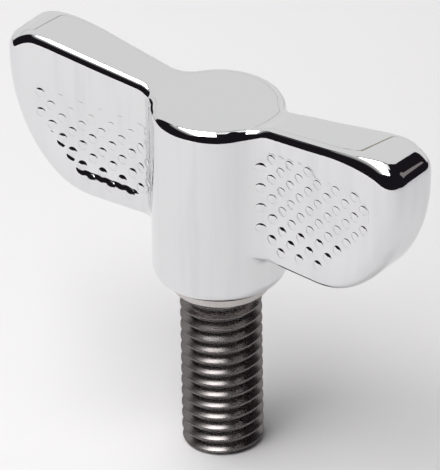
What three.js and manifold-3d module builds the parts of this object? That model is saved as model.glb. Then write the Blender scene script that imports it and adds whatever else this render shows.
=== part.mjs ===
// Thumb screw: a polished die-cast wing head on an M8 threaded steel stud.
// The screw stands on the flat end of its stud. Z runs up along the thread, X along the wings.
import * as THREE from 'three';
import { ParametricGeometry } from 'three/addons/geometries/ParametricGeometry.js';
import * as BufferGeometryUtils from 'three/addons/utils/BufferGeometryUtils.js';
import Module from 'manifold-3d';

const wasm = await Module();
wasm.setup();

// Driving dimensions, in millimetres and degrees.

const thread = {
  majorRadius: 3.93,
  rootRadius: 3.2,
  pitch: 1.25,
  crestWidth: 0.2,
  rootWidth: 0.22,
  crestHeight: 0.64, // height of the lowest crest above the stud's end, on the +X side
  stepsPerTurn: 28,
};

const stud = {
  length: 17.3, // from the flat end up to the collar of the head
  endRadius: 3.6,
  endChamfer: 0.5,
  neckLength: 0.8, // plain length below the collar
  shankRadius: 3.45,
  embedded: 10, // length held inside the head
};

const hub = {
  radius: 6.5,
  height: 19,
  topRound: 1.1,
  bottomRound: 1.4,
  collarRadius: 4.82,
  collarHeight: 1.15,
  socketClearance: 0.3,
  mouthRadius: 4.1, // recess in the collar's underside that clears the thread
  mouthDepth: 0.5,
  segments: 56,
  roundSteps: 5,
};

// Heights are above the underside of the hub.
const wing = {
  tip: 23.3,
  tipHeight: 18.3,
  rootTop: 19.5,
  rise: 0.13, // how fast the top edge climbs outwards
  topShoulder: 17.2, // where the top edge starts to round over
  bottomShoulder: 12, // where the bottom edge starts to sweep up
  rootBottom: 4.2,
  rootThickness: 4.6, // over both faces, beside the hub
  flare: 0.068, // growth of the half thickness along the wing
  edgeRound: 1.5,
  tipRound: 2.2,
  rootFillet: 1.5,
  innerEnd: 2, // where the wing's root lies hidden inside the hub
  cornerSteps: 5,
  stations: 34,
};

function solidOf(geometry) {
  const bare = geometry.clone();
  bare.deleteAttribute('normal');
  bare.deleteAttribute('uv');
  const merged = BufferGeometryUtils.mergeVertices(bare, 1e-5);
  const index = merged.getIndex().array;
  const triangles = [];
  for (let i = 0; i < index.length; i += 3) {
    const [a, b, c] = [index[i], index[i + 1], index[i + 2]];
    if (a !== b && b !== c && c !== a) triangles.push(a, b, c);
  }
  return new wasm.Manifold(new wasm.Mesh({
    numProp: 3,
    vertProperties: new Float32Array(merged.getAttribute('position').array),
    triVerts: new Uint32Array(triangles),
  }));
}

function meshOf(solid, name, material) {
  const result = solid.getMesh();
  const geometry = new THREE.BufferGeometry();
  geometry.setAttribute('position', new THREE.BufferAttribute(result.vertProperties, 3));
  geometry.setIndex(new THREE.BufferAttribute(result.triVerts, 1));
  geometry.computeVertexNormals();
  const mesh = new THREE.Mesh(geometry, material);
  mesh.name = name;
  return mesh;
}

// A solid of revolution about Z from [radius, height] points.
function turned(points, segments) {
  const profile = points.map(([radius, height]) => new THREE.Vector2(radius, height));
  return solidOf(new THREE.LatheGeometry(profile, segments).rotateX(Math.PI / 2));
}

// Points of a quarter circle about (centreRadius, centreHeight), from one angle to another.
function arc(centreRadius, centreHeight, radius, from, to, steps) {
  return Array.from({ length: steps + 1 }, (_, i) => {
    const angle = THREE.MathUtils.degToRad(from + ((to - from) * i) / steps);
    return [centreRadius + radius * Math.cos(angle), centreHeight + radius * Math.sin(angle)];
  });
}

// Top edge of a wing in side view: a rising straight line that rounds over towards the tip.
function wingTop(x) {
  const line = wing.rootTop + wing.rise * (x - hub.radius);
  const over = THREE.MathUtils.clamp((x - wing.topShoulder) / (wing.tip - wing.topShoulder), 0, 1);
  return wing.tipHeight + (line - wing.tipHeight) * Math.sqrt(1 - over * over);
}

// Bottom edge: level beside the hub, then an elliptical sweep up to the tip.
function wingBottom(x) {
  const over = THREE.MathUtils.clamp((x - wing.bottomShoulder) / (wing.tip - wing.bottomShoulder), 0, 1);
  return wing.tipHeight - (wing.tipHeight - wing.rootBottom) * Math.sqrt(1 - over * over);
}

// Half the wing's thickness: flared outwards, with a fillet into the hub and a rounded nose at the tip.
function wingHalfThickness(x) {
  const face = wing.rootThickness / 2 + wing.flare * (x - hub.radius);
  const centreY = wing.rootThickness / 2 + wing.rootFillet;
  const centreX = Math.sqrt((hub.radius + wing.rootFillet) ** 2 - centreY ** 2);
  const startX = (centreX * hub.radius) / (hub.radius + wing.rootFillet);
  const beyondNose = Math.max(0, x - (wing.tip - wing.tipRound)) / wing.tipRound;
  const nose = Math.sqrt(Math.max(0, 1 - beyondNose ** 2));
  if (x >= centreX) return face * nose;
  const reach = Math.max(x, startX) - centreX;
  const fillet = centreY - Math.sqrt(wing.rootFillet ** 2 - reach ** 2);
  return Math.max(face, fillet);
}

// One rounded-rectangle section point of the wing, for a turn of 0 to 1 around it.
function sectionPoint(turn, x, target) {
  const top = wingTop(x);
  const bottom = wingBottom(x);
  const halfThickness = wingHalfThickness(x);
  const halfHeight = (top - bottom) / 2;
  const round = Math.min(wing.edgeRound, halfThickness, halfHeight);
  const stepsPerCorner = wing.cornerSteps + 1;
  const step = Math.round(turn * 4 * stepsPerCorner) % (4 * stepsPerCorner);
  const corner = Math.floor(step / stepsPerCorner);
  const angle = (Math.PI / 2) * (corner + (step % stepsPerCorner) / wing.cornerSteps);
  const signY = corner === 0 || corner === 3 ? 1 : -1;
  const signZ = corner < 2 ? 1 : -1;
  const y = signY * (halfThickness - round) + round * Math.cos(angle);
  const z = (top + bottom) / 2 + signZ * (halfHeight - round) + round * Math.sin(angle);
  target.set(x, y, z);
}

// One wing along +X: sections that run from inside the hub out to the closed tip.
function wingSolid() {
  const lastStation = wing.stations - 1;
  const turns = 4 * (wing.cornerSteps + 1);
  const reach = wing.tip - wing.innerEnd;
  const point = (turn, along, target) => {
    const station = Math.round(along * wing.stations);
    if (station === 0) {
      target.set(wing.innerEnd, 0, (wingTop(wing.innerEnd) + wingBottom(wing.innerEnd)) / 2);
    } else if (station === wing.stations) {
      target.set(wing.tip, 0, wing.tipHeight);
    } else {
      const share = (station - 1) / lastStation;
      sectionPoint(turn, wing.innerEnd + reach * Math.sin((share * Math.PI) / 2), target);
    }
  };
  return solidOf(new ParametricGeometry(point, turns, wing.stations));
}

function headSolid() {
  const { radius, height, topRound, bottomRound, collarRadius, collarHeight, roundSteps } = hub;
  const body = turned([
    [0, -collarHeight],
    [collarRadius, -collarHeight],
    [collarRadius, 0],
    ...arc(radius - bottomRound, bottomRound, bottomRound, -90, 0, roundSteps),
    ...arc(radius - topRound, height - topRound, topRound, 0, 90, roundSteps),
    [0, height],
  ], hub.segments);
  const socketRadius = stud.shankRadius + hub.socketClearance;
  const socketTop = stud.embedded + hub.socketClearance - collarHeight;
  const mouthTop = hub.mouthDepth - collarHeight;
  const socket = turned([
    [0, -collarHeight - 1],
    [hub.mouthRadius, -collarHeight - 1],
    [hub.mouthRadius, mouthTop],
    [socketRadius, mouthTop],
    [socketRadius, socketTop],
    [0, socketTop],
  ], hub.segments);
  const right = wingSolid();
  const left = right.rotate([0, 0, 180]);
  const floor = stud.length + collarHeight;
  return body.add(right).add(left).subtract(socket).translate([0, 0, floor]);
}

// Where each face of the thread starts along one pitch, and how far it is from the axis there.
const crestShare = 0.5 + thread.rootWidth / 2 / thread.pitch;
const threadCorners = [
  { share: 0, radius: thread.rootRadius },
  { share: thread.rootWidth / thread.pitch, radius: thread.rootRadius },
  { share: crestShare - thread.crestWidth / 2 / thread.pitch, radius: thread.majorRadius },
  { share: crestShare + thread.crestWidth / 2 / thread.pitch, radius: thread.majorRadius },
];

// A right-handed thread from a height upwards, with helical ends that are cut off later.
function threadSolid(from, turns) {
  const { pitch, stepsPerTurn } = thread;
  const perPitch = threadCorners.length;
  const rows = turns * perPitch;
  const onThread = (row, turn, target) => {
    const corner = threadCorners[row % perPitch];
    const angle = turn * 2 * Math.PI;
    const height = from + pitch * (Math.floor(row / perPitch) + corner.share + turn);
    target.set(corner.radius * Math.cos(angle), corner.radius * Math.sin(angle), height);
  };
  const side = new ParametricGeometry((turn, along, target) => {
    onThread(Math.round(along * rows), turn, target);
  }, stepsPerTurn, rows);
  // Each end is a fan from the axis to the last helical row and the step that closes it.
  const loopSteps = stepsPerTurn + perPitch;
  const end = (row, upward) => new ParametricGeometry((around, out, target) => {
    const step = Math.round((upward ? 1 - around : around) * loopSteps);
    if (out < 0.5) target.set(0, 0, from + pitch * (row / perPitch + 0.5));
    else if (step <= stepsPerTurn) onThread(row, step / stepsPerTurn, target);
    else onThread(row + loopSteps - step, 0, target);
  }, loopSteps, 1);
  return solidOf(BufferGeometryUtils.mergeGeometries([side, end(0, false), end(rows, true)]));
}

function studSolid() {
  const { length, endRadius, endChamfer, neckLength, shankRadius, embedded } = stud;
  const { majorRadius, pitch } = thread;
  const threadTop = length - neckLength;
  const envelope = turned([
    [0, 0],
    [endRadius, 0],
    [majorRadius + 0.01, endChamfer],
    [majorRadius + 0.01, threadTop - (majorRadius - shankRadius)],
    [shankRadius, threadTop],
    [0, threadTop],
  ], hub.segments);
  const shank = turned([
    [0, threadTop - pitch],
    [thread.rootRadius, threadTop - pitch],
    [shankRadius, threadTop - 0.01],
    [shankRadius, length + embedded],
    [0, length + embedded],
  ], hub.segments);
  const from = thread.crestHeight - pitch * (crestShare + 2);
  const turns = Math.ceil(threadTop / pitch) + 3;
  return threadSolid(from, turns).intersect(envelope).add(shank);
}

const chrome = new THREE.MeshStandardMaterial({ color: 0xd9d9dc, roughness: 0.06, metalness: 1 });
const steel = new THREE.MeshStandardMaterial({ color: 0x565350, roughness: 0.35, metalness: 1 });

const thumbScrew = new THREE.Group();
thumbScrew.add(meshOf(headSolid(), 'wing_head', chrome));
thumbScrew.add(meshOf(studSolid(), 'threaded_stud', steel));

export default thumbScrew;
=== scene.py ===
import bpy
import bmesh
import math
import numpy as np
from mathutils import Matrix, Vector
from mathutils.bvhtree import BVHTree


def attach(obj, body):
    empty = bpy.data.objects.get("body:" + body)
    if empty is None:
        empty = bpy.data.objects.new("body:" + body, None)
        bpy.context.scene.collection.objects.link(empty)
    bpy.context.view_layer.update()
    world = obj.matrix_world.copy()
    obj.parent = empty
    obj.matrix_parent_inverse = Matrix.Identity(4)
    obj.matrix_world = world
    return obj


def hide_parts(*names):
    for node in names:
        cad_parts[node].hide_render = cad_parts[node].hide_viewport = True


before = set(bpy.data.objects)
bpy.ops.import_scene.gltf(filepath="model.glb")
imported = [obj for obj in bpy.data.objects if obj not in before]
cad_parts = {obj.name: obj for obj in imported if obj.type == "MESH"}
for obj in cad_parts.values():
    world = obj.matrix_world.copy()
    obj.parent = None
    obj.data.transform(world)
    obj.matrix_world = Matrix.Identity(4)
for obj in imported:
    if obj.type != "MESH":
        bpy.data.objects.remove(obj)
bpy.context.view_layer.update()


print("stage: frame loaded")

mm = 0.001


def newObject(name, bm, materials=()):
    mesh = bpy.data.meshes.new(name)
    bmesh.ops.scale(bm, vec=(mm, mm, mm), verts=bm.verts)
    bm.to_mesh(mesh)
    bm.free()
    for mat in materials:
        mesh.materials.append(mat)
    obj = bpy.data.objects.new(name, mesh)
    bpy.context.scene.collection.objects.link(obj)
    for poly in mesh.polygons:
        poly.use_smooth = True
    return obj


def smoothStep(low, high, value):
    t = np.clip((value - low) / (high - low), 0, 1)
    return t * t * (3 - 2 * t)


# two shapes given as signed distances, cut together with a round edge
def roundCut(a, b, r):
    return np.minimum(-r, np.maximum(a, b)) + np.hypot(np.maximum(r + a, 0), np.maximum(r + b, 0))


# two shapes joined with a fillet
def roundJoin(a, b, r):
    return np.maximum(r, np.minimum(a, b)) - np.hypot(np.maximum(r - a, 0), np.maximum(r - b, 0))


# head: hub and two wings as one smooth skin, heights are from the hub's underside
head = {
    "floor": 18.45,
    "hubRadius": 6.48,
    "hubTop": 18.97,
    "hubBottomRound": 1.4,
    "tip": 23.25,
    "tipHeight": 18.18,
    "lineStart": 19.18,
    "lineRise": 0.126,
    "topShoulder": 17.5,
    "bottomShoulder": 13.1,
    "rootBottom": 4.63,
    "rootHalf": 2.37,
    "flare": 0.068,
    "rootFillet": 1.5,
    "edge": 0.92,
    "hubEdge": 1.12,
    "tipEdge": 1.88,
    "topPower": 2.32,
    "bottomPowers": (2.02, 2.19),
    "crown": 0.006,
    "bow": 0.08,
    "underFillet": 0.8,
    "lowLevels": (1.4, 2.8),
    "highLevels": 11,
    "stations": (7.6, 22.3, 12),
    "ringSteps": 24,
    "capInset": 1.3,
    "cuts": 7,
}


def topLine(x):
    lift = head["lineStart"] + head["lineRise"] * (x - head["hubRadius"]) - head["hubTop"]
    return head["hubTop"] + smoothStep(5.8, 7.8, x) * lift


def wingTop(x):
    over = np.clip((x - head["topShoulder"]) / (head["tip"] - head["topShoulder"]), 0, 1)
    power = head["topPower"]
    return head["tipHeight"] + (topLine(x) - head["tipHeight"]) * (1 - over ** power) ** (1 / power)


def wingBottom(x):
    over = np.clip((x - head["bottomShoulder"]) / (head["tip"] - head["bottomShoulder"]), 0, 1)
    first, second = head["bottomPowers"]
    return head["tipHeight"] - (head["tipHeight"] - head["rootBottom"]) * (1 - over ** first) ** (1 / second)


# side outline of a wing as a polyline, then its signed distance on a fine grid
def outlineGrid(step=0.05):
    flat = np.linspace(-4, head["bottomShoulder"], 60)
    sweep = head["bottomShoulder"] + (head["tip"] - head["bottomShoulder"]) * np.sin(np.linspace(0, math.pi / 2, 120))
    crown = head["topShoulder"] + (head["tip"] - head["topShoulder"]) * np.sin(np.linspace(math.pi / 2, 0, 90))
    back = np.linspace(head["topShoulder"], -4, 150)
    xs = np.concatenate([flat, sweep[1:], crown[1:], back[1:]])
    zs = np.concatenate([wingBottom(flat), wingBottom(sweep[1:]), wingTop(crown[1:]), wingTop(back[1:])])
    gx = np.arange(-1.5, 25.5, step)
    gz = np.arange(1.0, 22.5, step)
    px, pz = np.meshgrid(gx, gz, indexing="ij")
    best = np.full(px.shape, 1e9)
    for k in range(len(xs) - 1):
        ax, az, bx, bz = xs[k], zs[k], xs[k + 1], zs[k + 1]
        dx, dz = bx - ax, bz - az
        t = np.clip(((px - ax) * dx + (pz - az) * dz) / (dx * dx + dz * dz), 0, 1)
        gap = (px - ax - t * dx) ** 2 + (pz - az - t * dz) ** 2
        np.minimum(best, gap, out=best)
    inside = (pz < wingTop(np.clip(px, None, head["tip"]))) & (pz > wingBottom(px)) & (px < head["tip"])
    return gx[0], gz[0], step, np.where(inside, -1, 1) * np.sqrt(best)


outlineField = outlineGrid()


def outline(x, z):
    x0, z0, step, field = outlineField
    u = np.clip((x - x0) / step, 0, field.shape[0] - 1.001)
    v = np.clip((z - z0) / step, 0, field.shape[1] - 1.001)
    i, j = u.astype(int), v.astype(int)
    a, b = u - i, v - j
    low = field[i, j] * (1 - a) + field[i + 1, j] * a
    high = field[i, j + 1] * (1 - a) + field[i + 1, j + 1] * a
    return low * (1 - b) + high * b


def headForm(p):
    x, y, z = np.abs(p[:, 0]), p[:, 1], p[:, 2]
    bow = head["bow"] * y * y * (1 - smoothStep(8, 13, x))
    circle = np.hypot(x, y) - head["hubRadius"]
    slab = np.abs(y) - (head["rootHalf"] + head["flare"] * (x - head["hubRadius"]))
    side = outline(x + bow, z + head["crown"] * y * y * smoothStep(6, 10, x) * smoothStep(14, 18, z))
    # tips round off more, but two of the four top edges stay tight right out to the tip
    tight = smoothStep(-0.5, 0.5, p[:, 0] * y / (1 + np.abs(y))) * smoothStep(15, 19, z)
    tight = tight * (1 - smoothStep(19.5, 22.5, x))
    worn = smoothStep(15, 22, x) * (1 - tight)
    base = head["hubEdge"] + (head["edge"] - head["hubEdge"]) * smoothStep(5, 8, x)
    edge = base + (head["tipEdge"] - base) * worn
    upper = roundCut(roundJoin(circle, slab, head["rootFillet"]), side, edge)
    barrel = roundCut(circle, -z, head["hubBottomRound"])
    lower = np.maximum(roundJoin(roundCut(slab, side, edge), barrel, head["underFillet"]), z - head["rootBottom"] - 3)
    return np.minimum(upper, lower)


def slope(form, p, h=0.02):
    g = np.empty_like(p)
    for axis in range(3):
        d = np.zeros(3)
        d[axis] = h
        g[:, axis] = (form(p + d) - form(p - d)) / (2 * h)
    return g


def pullOn(form, p, rounds):
    for step in range(rounds):
        g = slope(form, p)
        size = np.maximum((g * g).sum(1), 0.25)
        move = -(form(p) / size)[:, None] * g
        length = np.linalg.norm(move, axis=1)
        move *= np.minimum(1, 0.8 / np.maximum(length, 1e-9))[:, None]
        p = p + move
    return p


def coords(bm):
    return np.array([v.co for v in bm.verts], float)


def setCoords(bm, p):
    for v, co in zip(bm.verts, p):
        v.co = co


def buildCage():
    bm = bmesh.new()
    radius, steps = head["hubRadius"], head["ringSteps"]
    low = [*head["lowLevels"], head["rootBottom"]]
    high = list(np.linspace(head["rootBottom"], head["hubTop"], head["highLevels"])[1:])
    bmesh.ops.create_circle(bm, cap_ends=False, radius=radius, segments=steps)
    ring = list(bm.edges)
    firstRing = ring
    height = 0
    for level in low + high:
        made = bmesh.ops.extrude_edge_only(bm, edges=ring)["geom"]
        verts = [g for g in made if isinstance(g, bmesh.types.BMVert)]
        bmesh.ops.translate(bm, vec=(0, 0, level - height), verts=verts)
        ring = [g for g in made if isinstance(g, bmesh.types.BMEdge) and all(v in verts for v in g.verts)]
        height = level
    for loop in (firstRing, ring):
        face = bmesh.ops.contextual_create(bm, geom=loop)["faces"][0]
        for k in range(4):
            bmesh.ops.inset_region(bm, faces=[face], thickness=head["capInset"], use_even_offset=True)
        bmesh.ops.poke(bm, faces=[face])
    # wings: pull the wall out section by section
    stations = np.linspace(*head["stations"])
    for way in (1, -1):
        faces = []
        for f in bm.faces:
            c = f.calc_center_median()
            angle = abs(math.degrees(math.atan2(c.y, c.x * way)))
            if angle < 30 and c.z > head["rootBottom"] and c.z < head["hubTop"] - 0.1:
                faces.append(f)
        for x in stations:
            made = bmesh.ops.extrude_face_region(bm, geom=faces)["geom"]
            fresh = [g for g in made if isinstance(g, bmesh.types.BMFace)]
            bmesh.ops.delete(bm, geom=[f for f in faces if f.is_valid], context="FACES")
            verts = {v for f in fresh for v in f.verts}
            zs = [v.co.z for v in verts]
            bottom, top = min(zs), max(zs)
            half = max(abs(v.co.y) for v in verts)
            newHalf = head["rootHalf"] + head["flare"] * (x - head["hubRadius"])
            newBottom, newTop = float(wingBottom(x)), float(wingTop(x))
            for v in verts:
                t = (v.co.z - bottom) / (top - bottom)
                v.co = (way * x, v.co.y / half * newHalf, newBottom + t * (newTop - newBottom))
            faces = fresh
    bmesh.ops.recalc_face_normals(bm, faces=bm.faces)
    return bm


bm = buildCage()
bmesh.ops.subdivide_edges(bm, edges=bm.edges, cuts=head["cuts"], use_grid_fill=True)
print("stage: head cage", len(bm.verts))
p = pullOn(headForm, coords(bm), 10)
setCoords(bm, p)
for k in range(3):
    bmesh.ops.smooth_vert(bm, verts=bm.verts, factor=0.5, use_axis_x=True, use_axis_y=True, use_axis_z=True)
    setCoords(bm, pullOn(headForm, coords(bm), 3))
p = pullOn(headForm, coords(bm), 3)
setCoords(bm, p)
print("stage: head skin", len(bm.verts), "left over", float(np.abs(headForm(p)).max()))


# grip pads: a shallow dish on each wing face with staggered raised dots
pad = {
    "columns": 13,
    "rows": 11,
    "firstX": 7.3,
    "stepX": 1.085,
    "firstZ": 6.8,
    "stepZ": 1.1,
    "innerX": 7.8,
    "innerLow": 7.6,
    "innerHigh": 16.3,
    "outerX": 19.5,
    "halfRowEnd": 14,
    "dotRadius": 0.52,
    "dotHeight": 0.086,
    "leftShare": 1.2,
    "wear": 0.6,
    "dish": 0.34,
    "rimLow": 6.0,
    "rimMargin": 1.3,
    "rimHigh": 17.6,
    "slopeLow": 3.9,
    "slopeHigh": 7.2,
    "slopeInner": (6.8, 8.6),
    "slopeOuter": (20.8, 17),
    "lip": 0.07,
    "lipReach": 0.62,
    "lipWidth": 0.24,
    "deepLip": 1.5,
    "highLip": 0.9,
    "softness": 6,
}

# the two wings were cut with slightly different grids, 1 is the right one and -1 the left one
padGrids = {
    1: {"spread": 1.04, "shift": -0.7, "lean": 0.1, "pivot": 11.3},
    -1: {"spread": 1.045, "shift": -1.17, "lean": 0.035, "pivot": 14.0},
}


def padPoint(i, j, way):
    grid = padGrids[way]
    x = pad["firstX"] + pad["stepX"] * i
    z = pad["firstZ"] + pad["stepZ"] * j + grid["lean"] * (x - grid["pivot"])
    return grid["spread"] * x + grid["shift"], z


# where each wing's dots stop, below and above
def padLow(x, way):
    return max(6.4, 7.8 + 1.05 * (x - 14.8)) if way > 0 else max(7.4, x - 7.6)


def padHigh(x, way):
    return 17.0 - 0.15 * max(0, x - 14) if way > 0 else 15.0


def padPlaces(way):
    places, extra, inside = {}, [], []
    spots = [(i, j) for i in range(pad["columns"]) for j in range(pad["rows"])]
    for i, j in spots:
        x, z = padPoint(i, j, way)
        buried = x < pad["innerX"] and not pad["innerLow"] < z < pad["innerHigh"]
        if (i + j) % 2 or x > pad["outerX"] or z > padHigh(x, way) or buried:
            continue
        if z > padLow(x, way):
            places[i, j] = (x, z)
        elif way < 0 and j == 0 and x < pad["halfRowEnd"]:
            # the left wing's rim cuts through its lowest row
            extra.append((x, z))
    for i, j in spots:
        beside = [(i - 1, j), (i + 1, j), (i, j - 1), (i, j + 1)]
        if (i + j) % 2 and sum(spot in places for spot in beside) >= 3:
            inside.append(padPoint(i, j, way))
    full = list(places.values())
    return np.array(full + extra), np.array(full + inside)


padDots = {way: padPlaces(way) for way in (1, -1)}
print("stage: dots per face", [len(padDots[way][0]) for way in (1, -1)])


# depth of the dish under the wing's plain face
def dishDepth(x, z, way):
    below = z - np.maximum(pad["rimLow"], wingBottom(x + 0.3) + pad["rimMargin"])
    above = pad["rimHigh"] - z - 0.5 * np.maximum(0, x - 17)
    bowl = smoothStep(0, pad["slopeLow"], below) * smoothStep(0, pad["slopeHigh"], above)
    bowl = bowl * smoothStep(*pad["slopeInner"], x) * smoothStep(*pad["slopeOuter"], x)
    # the dish's rim is scalloped: it keeps a set distance from the outermost dots
    pull = np.zeros(x.shape)
    for dx, dz in padDots[way][1]:
        pull += np.exp(-pad["softness"] * np.hypot(x - dx, z - dz))
    near = -np.log(np.maximum(pull, 1e-30)) / pad["softness"]
    lip = pad["lip"] * smoothStep(pad["lipReach"] + pad["lipWidth"], pad["lipReach"], near)
    # the left wing's lower rim was cut deeper, the right one's upper rim too
    if way < 0:
        along = smoothStep(15.5, 13.5, x) * smoothStep(7.8, 8.8, x)
        deeper = pad["deepLip"] * smoothStep(4.5, 2.5, below) * along
    else:
        deeper = pad["highLip"] * smoothStep(3.4, 1.8, above) - 0.75 * smoothStep(4.5, 2.5, below)
    return pad["dish"] * bowl + lip * (1 + deeper)


# half thickness of a wing before the dish is cut, with the fillet at its root
def faceHalf(x):
    face = head["rootHalf"] + head["flare"] * (x - head["hubRadius"])
    centreY = head["rootHalf"] + head["rootFillet"]
    centreX = math.sqrt((head["hubRadius"] + head["rootFillet"]) ** 2 - centreY ** 2)
    reach = np.clip(x - centreX, -1.2, 0)
    return np.maximum(face, centreY - np.sqrt(head["rootFillet"] ** 2 - reach ** 2))


for way in (1, -1):
    chosen = (-p[:, 0] * p[:, 1] * way > 0) & (np.abs(p[:, 0]) > 5.9) & (np.abs(p[:, 0]) < 21.5)
    x, y, z = np.abs(p[chosen, 0]), p[chosen, 1], p[chosen, 2]
    onFace = smoothStep(0.5, 0.1, np.abs(np.abs(y) - faceHalf(x)))
    p[chosen, 1] = np.sign(y) * (np.abs(y) - dishDepth(x, z, way) * onFace)
setCoords(bm, p)

# each dot is a shallow dome set on the cut surface, share of the radius and share of the height
dome = [(0.0, 1.0), (0.3, 0.91), (0.58, 0.66), (0.82, 0.33), (1.0, 0.0), (1.07, -0.5)]
segments = 16
around = np.arange(segments) * 2 * math.pi / segments
surface = BVHTree.FromBMesh(bm)


def surfaceHalf(x, z, wayX, wayY):
    hit = surface.ray_cast(Vector((wayX * x, wayY * 9, z)), Vector((0, -wayY, 0)))[0]
    return abs(hit.y)


def addDot(cx, cz, wayX, wayY, height):
    rings = []
    for reach, lift in dome:
        angles = around if reach else around[:1]
        ring = []
        for angle in angles:
            x = cx + reach * pad["dotRadius"] * math.cos(angle)
            z = cz + reach * pad["dotRadius"] * math.sin(angle)
            y = surfaceHalf(x, z, wayX, wayY) + lift * height
            ring.append(bm.verts.new((wayX * x, wayY * y, z)))
        rings.append(ring)
    for inner, outer in zip(rings, rings[1:]):
        for k in range(segments):
            n = (k + 1) % segments
            corners = [inner[k], outer[k], outer[n], inner[n]] if len(inner) > 1 else [inner[0], outer[k], outer[n]]
            bm.faces.new(corners[::-1] if wayX * wayY > 0 else corners)
    # close the dome underneath, inside the metal
    bm.faces.new(rings[-1] if wayX * wayY > 0 else rings[-1][::-1])


for wayX in (1, -1):
    for wayY in (1, -1):
        # each wing has one face of each grid
        way = -wayX * wayY
        for cx, cz in padDots[way][0]:
            height = pad["dotHeight"]
            if way < 0:
                # the upper dots of this grid are worn down
                worn = pad["wear"] * smoothStep(11.5, 14, cz) * smoothStep(18.3, 16.5, cx)
                height *= pad["leftShare"] * (1 - worn)
            addDot(cx, cz, wayX, wayY, height)
print("stage: pads")
bmesh.ops.translate(bm, vec=(0, 0, head["floor"]), verts=bm.verts)
headBm = bm


def nodeMaterial(name):
    mat = bpy.data.materials.new(name)
    mat.use_nodes = True
    tree = mat.node_tree
    return mat, tree, tree.nodes["Principled BSDF"]


def newGroup(name, outputs):
    group = bpy.data.node_groups.new(name, "ShaderNodeTree")
    for label, kind in outputs:
        group.interface.new_socket(name=label, in_out="OUTPUT", socket_type=kind)
    return group, group.nodes.new("NodeGroupOutput")


def mapRange(tree, source, low, high, fromLow=0.0, fromHigh=1.0):
    node = tree.nodes.new("ShaderNodeMapRange")
    node.inputs["From Min"].default_value = fromLow
    node.inputs["From Max"].default_value = fromHigh
    node.inputs["To Min"].default_value = low
    node.inputs["To Max"].default_value = high
    tree.links.new(source, node.inputs["Value"])
    return node.outputs["Result"]


# wear shared by the metals, in object space: slow stains, fine grain, scratches, and painted reflections as upright
# streaks on the walls
def wearAndReflectionGroup():
    masks = ("stain", "grain", "scratch", "streakReflection")
    group, out = newGroup("wear", [(mask, "NodeSocketFloat") for mask in masks])
    nodes, links = group.nodes, group.links
    where = nodes.new("ShaderNodeTexCoord")

    def noise(scale, detail, stretch=None, turned=(0, 0, 0)):
        tex = nodes.new("ShaderNodeTexNoise")
        tex.inputs["Scale"].default_value = scale
        tex.inputs["Detail"].default_value = detail
        source = where.outputs["Object"]
        if stretch:
            mapping = nodes.new("ShaderNodeMapping")
            mapping.inputs["Scale"].default_value = stretch
            mapping.inputs["Rotation"].default_value = turned
            links.new(source, mapping.inputs["Vector"])
            source = mapping.outputs["Vector"]
        links.new(source, tex.inputs["Vector"])
        return tex.outputs["Fac"]

    links.new(noise(160, 4), out.inputs["stain"])
    links.new(noise(9000, 3), out.inputs["grain"])
    scratch = noise(1, 2, (260, 260, 4200), (0.06, 0.09, 0))
    links.new(mapRange(group, scratch, 0, 1, 0.6, 0.75), out.inputs["scratch"])
    # painted reflection: upright streaks, painted only on the walls, the flat tops are left without them
    streakReflection = mapRange(group, noise(1, 3, (900, 900, 70)), 0, 1, 0.48, 0.72)
    facing = nodes.new("ShaderNodeSeparateXYZ")
    links.new(where.outputs["Normal"], facing.inputs["Vector"])
    walls = nodes.new("ShaderNodeMath")
    walls.operation = "MULTIPLY"
    links.new(streakReflection, walls.inputs[0])
    links.new(mapRange(group, facing.outputs["Z"], 1, 0, 0.3, 0.5), walls.inputs[1])
    links.new(walls.outputs["Value"], out.inputs["streakReflection"])
    return group


wear = wearAndReflectionGroup()


def addWearAndReflection(tree):
    node = tree.nodes.new("ShaderNodeGroup")
    node.node_tree = wear
    return node


def mixColour(tree, factor, a, b):
    node = tree.nodes.new("ShaderNodeMix")
    node.data_type = "RGBA"
    node.inputs[6].default_value = a
    node.inputs[7].default_value = b
    tree.links.new(factor, node.inputs[0])
    return node.outputs[2]


def bump(tree, height, strength, distance):
    node = tree.nodes.new("ShaderNodeBump")
    node.inputs["Strength"].default_value = strength
    node.inputs["Distance"].default_value = distance
    tree.links.new(height, node.inputs["Height"])
    return node.outputs["Normal"]


# a metal mixes two colours, a roughness range and a bump, each driven by one of the shared masks: wear, or the painted
# streak reflection
def metal(name, values):
    mat, tree, skin = nodeMaterial(name)
    masks = addWearAndReflection(tree).outputs
    skin.inputs["Metallic"].default_value = values["metallic"]
    if "edgeTint" in values:
        skin.inputs["Specular Tint"].default_value = values["edgeTint"]
    mask, first, second = values["colour"]
    tree.links.new(mixColour(tree, masks[mask], first, second), skin.inputs["Base Color"])
    mask, *limits = values["roughness"]
    tree.links.new(mapRange(tree, masks[mask], *limits), skin.inputs["Roughness"])
    mask, strength, distance = values["bump"]
    tree.links.new(bump(tree, masks[mask], strength, distance), skin.inputs["Normal"])
    return mat


chrome = metal("chrome", {
    "metallic": 1,
    # the chrome's colour goes a shade darker and bluer along the upright streaks, a painted reflection
    "colour": ("streakReflection", (0.745, 0.745, 0.752, 1), (0.7, 0.702, 0.716, 1)),
    "roughness": ("scratch", 0.035, 0.085),
    "bump": ("stain", 0.03, 0.0002),
})
zinc = metal("bare zinc", {
    "metallic": 0.6,
    "colour": ("grain", (0.54, 0.49, 0.46, 1), (0.82, 0.79, 0.775, 1)),
    "roughness": ("stain", 0.4, 0.6),
    "bump": ("grain", 0.4, 0.00004),
})
# the dark edge tint keeps the rims of the rolled thread dark
steel = metal("rolled steel", {
    "metallic": 1,
    "edgeTint": (0.42, 0.4, 0.43, 1),
    "colour": ("stain", (0.19, 0.172, 0.168, 1), (0.26, 0.243, 0.238, 1)),
    "roughness": ("grain", 0.25, 0.29, 0.3, 0.7),
    "bump": ("grain", 0.02, 0.00001),
})
print("stage: materials")

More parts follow.
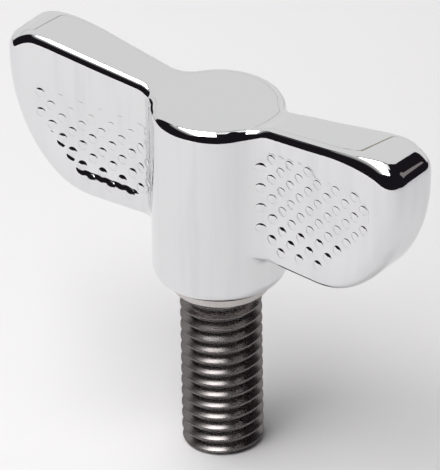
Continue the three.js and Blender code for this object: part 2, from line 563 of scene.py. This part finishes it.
# collar under the hub: a short ring that was left bare
collar = {
    "outer": 4.81,
    "inner": 3.78,
    "depth": 1.14,
    "mouth": 4.1,
    "mouthDepth": 0.5,
    "overlap": 0.25,
    "segments": 96,
}


def turnedRing(bm, points, segments):
    verts = [bm.verts.new((r, 0, z)) for r, z in points]
    edges = [bm.edges.new((verts[k], verts[(k + 1) % len(verts)])) for k in range(len(verts))]
    before = set(bm.faces)
    bmesh.ops.spin(bm, geom=verts + edges, cent=(0, 0, 0), axis=(0, 0, 1), dvec=(0, 0, 0),
                   angle=2 * math.pi, steps=segments, use_merge=True)
    return [f for f in bm.faces if f not in before]


bottom = head["floor"] - collar["depth"]
hidden, seat = head["floor"] + collar["overlap"], bottom + collar["mouthDepth"]
ringFaces = turnedRing(headBm, [
    (collar["outer"], hidden), (collar["outer"], bottom + 0.12), (collar["outer"] - 0.04, bottom + 0.04),
    (collar["outer"] - 0.12, bottom), (collar["mouth"], bottom), (collar["mouth"], seat),
    (collar["inner"], seat), (collar["inner"], hidden)], collar["segments"])
for f in ringFaces:
    f.material_index = 1
bmesh.ops.recalc_face_normals(headBm, faces=ringFaces)
wingHead = newObject("wingHead", headBm, [chrome, zinc])
wingHead.data.set_sharp_from_angle(angle=math.radians(50))
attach(wingHead, "root")
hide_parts("wing_head")
print("stage: head done", len(wingHead.data.polygons))

# stud: one rolled thread profile swept up a right-handed helix
stud = {
    "top": 18.3,
    "major": 3.92,
    "root": 3.26,
    "pitch": 1.25,
    "crestHeight": 0.64,
    "stepsPerTurn": 64,
    "neck": 3.5,
    "neckStart": 16.45,
    "endRadius": 3.5,
    "endRound": 0.5,
}

# half of one ridge from crest to root: share of the pitch, share of the depth
halfRidge = [
    (0.02, 0.965), (0.045, 1.0), (0.07, 0.995), (0.09, 0.955), (0.115, 0.88), (0.17, 0.745), (0.225, 0.61),
    (0.28, 0.475), (0.33, 0.35), (0.375, 0.22), (0.42, 0.1), (0.46, 0.025), (0.5, 0.0),
]
threadProfile = [(-u, lift) for u, lift in reversed(halfRidge)] + halfRidge


def buildStud():
    bm = bmesh.new()
    start = stud["crestHeight"] - 2 * stud["pitch"]
    turns = int(math.ceil(stud["top"] / stud["pitch"])) + 4
    verts = [bm.verts.new((stud["root"] + lift * (stud["major"] - stud["root"]), 0, start + u * stud["pitch"]))
             for u, lift in threadProfile]
    edges = [bm.edges.new(pair) for pair in zip(verts, verts[1:])]
    bmesh.ops.spin(bm, geom=verts + edges, cent=(0, 0, 0), axis=(0, 0, 1),
                   dvec=(0, 0, stud["pitch"] / stud["stepsPerTurn"]), angle=2 * math.pi * turns,
                   steps=stud["stepsPerTurn"] * turns, use_merge=False)
    bmesh.ops.remove_doubles(bm, verts=bm.verts, dist=0.002)
    for height, keepAbove in ((0.0, True), (stud["top"], False)):
        bmesh.ops.bisect_plane(bm, geom=bm.verts[:] + bm.edges[:] + bm.faces[:], plane_co=(0, 0, height),
                               plane_no=(0, 0, 1), clear_inner=keepAbove, clear_outer=not keepAbove)
    for v in bm.verts:
        r = math.hypot(v.co.x, v.co.y)
        low = min(1, max(0, v.co.z / stud["endRound"]))
        limit = stud["endRadius"] + (stud["major"] + 0.01 - stud["endRadius"]) * math.sqrt(1 - (1 - low) ** 2)
        fade = float(smoothStep(stud["neckStart"] - 0.35, stud["neckStart"] + 0.15, v.co.z))
        wanted = min(r, limit) * (1 - fade) + stud["neck"] * fade
        v.co.x *= wanted / r
        v.co.y *= wanted / r
    for height in (0.0, stud["top"]):
        rim = [e for e in bm.edges if e.is_boundary and all(abs(v.co.z - height) < 1e-4 for v in e.verts)]
        made = bmesh.ops.edgeloop_fill(bm, edges=rim)["faces"]
        made = made or bmesh.ops.contextual_create(bm, geom=rim)["faces"]
        bmesh.ops.inset_region(bm, faces=made, thickness=0.15)
        bmesh.ops.poke(bm, faces=made)
    bmesh.ops.recalc_face_normals(bm, faces=bm.faces)
    return bm


threadedStud = newObject("threadedStud", buildStud(), [steel])
threadedStud.data.set_sharp_from_angle(angle=math.radians(55))
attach(threadedStud, "root")
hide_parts("threaded_stud")
print("stage: stud", len(threadedStud.data.polygons))

# stage: pale table, lit backdrop and one big overhead softbox in a dark room
# places are side, depth and height as the camera sees them, in metres from the part's foot
shoot = {
    "azimuth": 37.8,
    "elevation": 31.5,
    "roll": 0.94,
    "distance": 0.85,
    "lens": 735,
    "aim": (0.0, 0.0, 0.0271),
    "shiftX": 0.0018,
    "shiftY": -0.094,
}
table = {"side": 0.17, "front": -0.17, "bend": 0.05, "back": 0.5, "backSide": 0.6}
softbox = {"left": -0.31, "right": -0.02, "front": -0.32, "back": 0.15, "height": 0.54, "power": 2.85}
fill = {"place": (-0.33, -0.27, 0.34), "size": 0.4, "power": 0.9}
glow = {"left": -0.56, "front": -0.36, "back": 0.2, "strength": 0.8}
room = {"radius": 1550, "apron": 1.5}

turn = math.radians(shoot["azimuth"])
right = Vector((math.cos(turn), math.sin(turn), 0))
back = Vector((-math.sin(turn), math.cos(turn), 0))


def stagePoint(side, depth, height):
    return right * side + back * depth + Vector((0, 0, height))


def stageSheet(name, rows, mat):
    bm = bmesh.new()
    lines = [[bm.verts.new(stagePoint(*point) / mm) for point in row] for row in rows]
    for a, b in zip(lines, lines[1:]):
        for k in range(len(a) - 1):
            bm.faces.new((a[k], a[k + 1], b[k + 1], b[k]))
    obj = newObject(name, bm, [mat])
    return obj


def levelSheet(name, sides, depths, height, mat):
    return stageSheet(name, [[(side, depth, height) for side in sides] for depth in depths], mat)


def uprightSheet(name, sides, depth, heights, mat):
    return stageSheet(name, [[(side, depth, height) for side in sides] for height in heights], mat)


def areaLight(name, width, depth, power, place):
    light = bpy.data.lights.new(name, "AREA")
    light.shape = "RECTANGLE"
    light.size, light.size_y = width, depth
    light.energy = power
    obj = bpy.data.objects.new(name, light)
    bpy.context.scene.collection.objects.link(obj)
    obj.location = stagePoint(*place)
    return obj


def glowMaterial(name, colour):
    mat = bpy.data.materials.new(name)
    mat.use_nodes = True
    tree = mat.node_tree
    tree.nodes.clear()
    emission = tree.nodes.new("ShaderNodeEmission")
    emission.inputs["Color"].default_value = colour
    emission.inputs["Strength"].default_value = 1
    end = tree.nodes.new("ShaderNodeOutputMaterial")
    tree.links.new(emission.outputs["Emission"], end.inputs["Surface"])
    return mat


# brightness rises from left to right between two places
def fadingMaterial(name, start, end, strength):
    mat = glowMaterial(name, (1, 1, 1, 1))
    tree = mat.node_tree
    where = tree.nodes.new("ShaderNodeTexCoord")
    along = tree.nodes.new("ShaderNodeVectorMath")
    along.operation = "DOT_PRODUCT"
    along.inputs[1].default_value = right
    tree.links.new(where.outputs["Object"], along.inputs[0])
    rise = mapRange(tree, along.outputs["Value"], 0, strength, start, end)
    tree.links.new(rise, tree.nodes["Emission"].inputs["Strength"])
    return mat


paper, paperTree, paperSkin = nodeMaterial("paper")
paperSkin.inputs["Base Color"].default_value = (0.81, 0.8, 0.805, 1)
paperSkin.inputs["Roughness"].default_value = 0.9
paperSkin.inputs["Specular IOR Level"].default_value = 0.2
wide, far, wideFar = table["side"], table["back"], table["backSide"]
stageSheet("table", [[(-wide, table["front"], 0), (wide, table["front"], 0)],
                     [(-wide, table["bend"], 0), (wide, table["bend"], 0)],
                     [(-wideFar, far, 0), (wideFar, far, 0)]], paper)
# the rest of the floor and a pale room are there for the camera only, the metal sees a small table in the dark
reach = room["apron"]
apronObj = levelSheet("apron", (-reach, reach), (-reach, reach), -0.0002, paper)
cloth = glowMaterial("backdrop", (0.83, 0.83, 0.83, 1))
backdropLow = uprightSheet("backdropLow", (-0.9, 0.9), far, (0, 0.275), cloth)
backdropHigh = stageSheet("backdropHigh", [
    [(-0.9, far, 0.285), (0.9, far, 0.285)], [(-0.9, far, 0.5), (0.6, far, 0.5)],
    [(-0.7, 0.44, 0.78), (0.3, 0.44, 0.78)], [(-0.5, 0.31, 0.83), (0.16, 0.31, 0.83)]], cloth)

boxSide, boxDepth = (softbox["left"] + softbox["right"]) / 2, (softbox["front"] + softbox["back"]) / 2
boxObj = areaLight("softbox", softbox["right"] - softbox["left"], softbox["back"] - softbox["front"], softbox["power"],
                   (boxSide, boxDepth, softbox["height"]))
boxObj.rotation_euler = (0, 0, turn)

# fill from the left, kept out of the reflections
fillObj = areaLight("fill", fill["size"], fill["size"], fill["power"], fill["place"])
fillObj.rotation_euler = (fillObj.location - Vector((0, 0, 0.02))).to_track_quat("Z", "Y").to_euler()
fillObj.visible_glossy = False

# the gap between the two backdrops shows as a thin brown line in the metal
seamObj = uprightSheet("seam", (-0.9, 0.9), far + 0.001, (0.27, 0.29), glowMaterial("seam", (0.34, 0.31, 0.24, 1)))
dimObj = levelSheet("dimCard", (softbox["right"], 0.07), (-0.05, softbox["back"]), 0.545,
                    glowMaterial("dimCard", (1.1, 1.1, 1.1, 1)))
# the softbox fades out towards the left
glowObj = levelSheet("leftGlow", (glow["left"], softbox["left"]), (glow["front"], glow["back"]), softbox["height"],
                     fadingMaterial("leftGlow", glow["left"], softbox["left"], glow["strength"]))
# dim card on the right, it puts a second faint line on the thread
sideObj = stageSheet("sideCard", [[(0.34, -0.03, 0.14), (0.34, 0.06, 0.14)], [(0.32, -0.03, 0.3), (0.32, 0.06, 0.3)]],
                     glowMaterial("sideCard", (0.24, 0.225, 0.22, 1)))

roomBm = bmesh.new()
bmesh.ops.create_uvsphere(roomBm, u_segments=32, v_segments=16, radius=room["radius"])
bmesh.ops.reverse_faces(roomBm, faces=roomBm.faces)
roomObj = newObject("room", roomBm, [glowMaterial("roomWall", (0.8, 0.795, 0.8, 1))])
roomObj.visible_shadow = False
for obj in (roomObj, apronObj):
    obj.visible_glossy = False
for obj in (roomObj, glowObj, sideObj):
    obj.visible_diffuse = False
for obj in (backdropLow, backdropHigh, seamObj, dimObj, sideObj, glowObj, boxObj, fillObj):
    obj.visible_camera = False

world = bpy.data.worlds.new("dark room")
world.use_nodes = True
world.node_tree.nodes["Background"].inputs["Color"].default_value = (0.012, 0.010, 0.013, 1)
world.node_tree.nodes["Background"].inputs["Strength"].default_value = 1
bpy.context.scene.world = world
bpy.context.scene.view_settings.view_transform = "Standard"
print("stage: studio")

camData = bpy.data.cameras.new("camera")
cam = bpy.data.objects.new("camera", camData)
bpy.context.scene.collection.objects.link(cam)
tilt = math.radians(shoot["elevation"])
toCamera = Vector((math.sin(turn) * math.cos(tilt), -math.cos(turn) * math.cos(tilt), math.sin(tilt)))
cam.location = Vector(shoot["aim"]) + toCamera * shoot["distance"]
look = toCamera.to_track_quat("Z", "Y").to_matrix().to_4x4()
cam.matrix_world = Matrix.Translation(cam.location) @ look @ Matrix.Rotation(math.radians(-shoot["roll"]), 4, "Z")
camData.lens = shoot["lens"]
camData.sensor_width = 36
camData.sensor_fit = "HORIZONTAL"
camData.clip_start = 0.05
camData.shift_x = shoot["shiftX"]
camData.shift_y = shoot["shiftY"]
bpy.context.scene.camera = cam
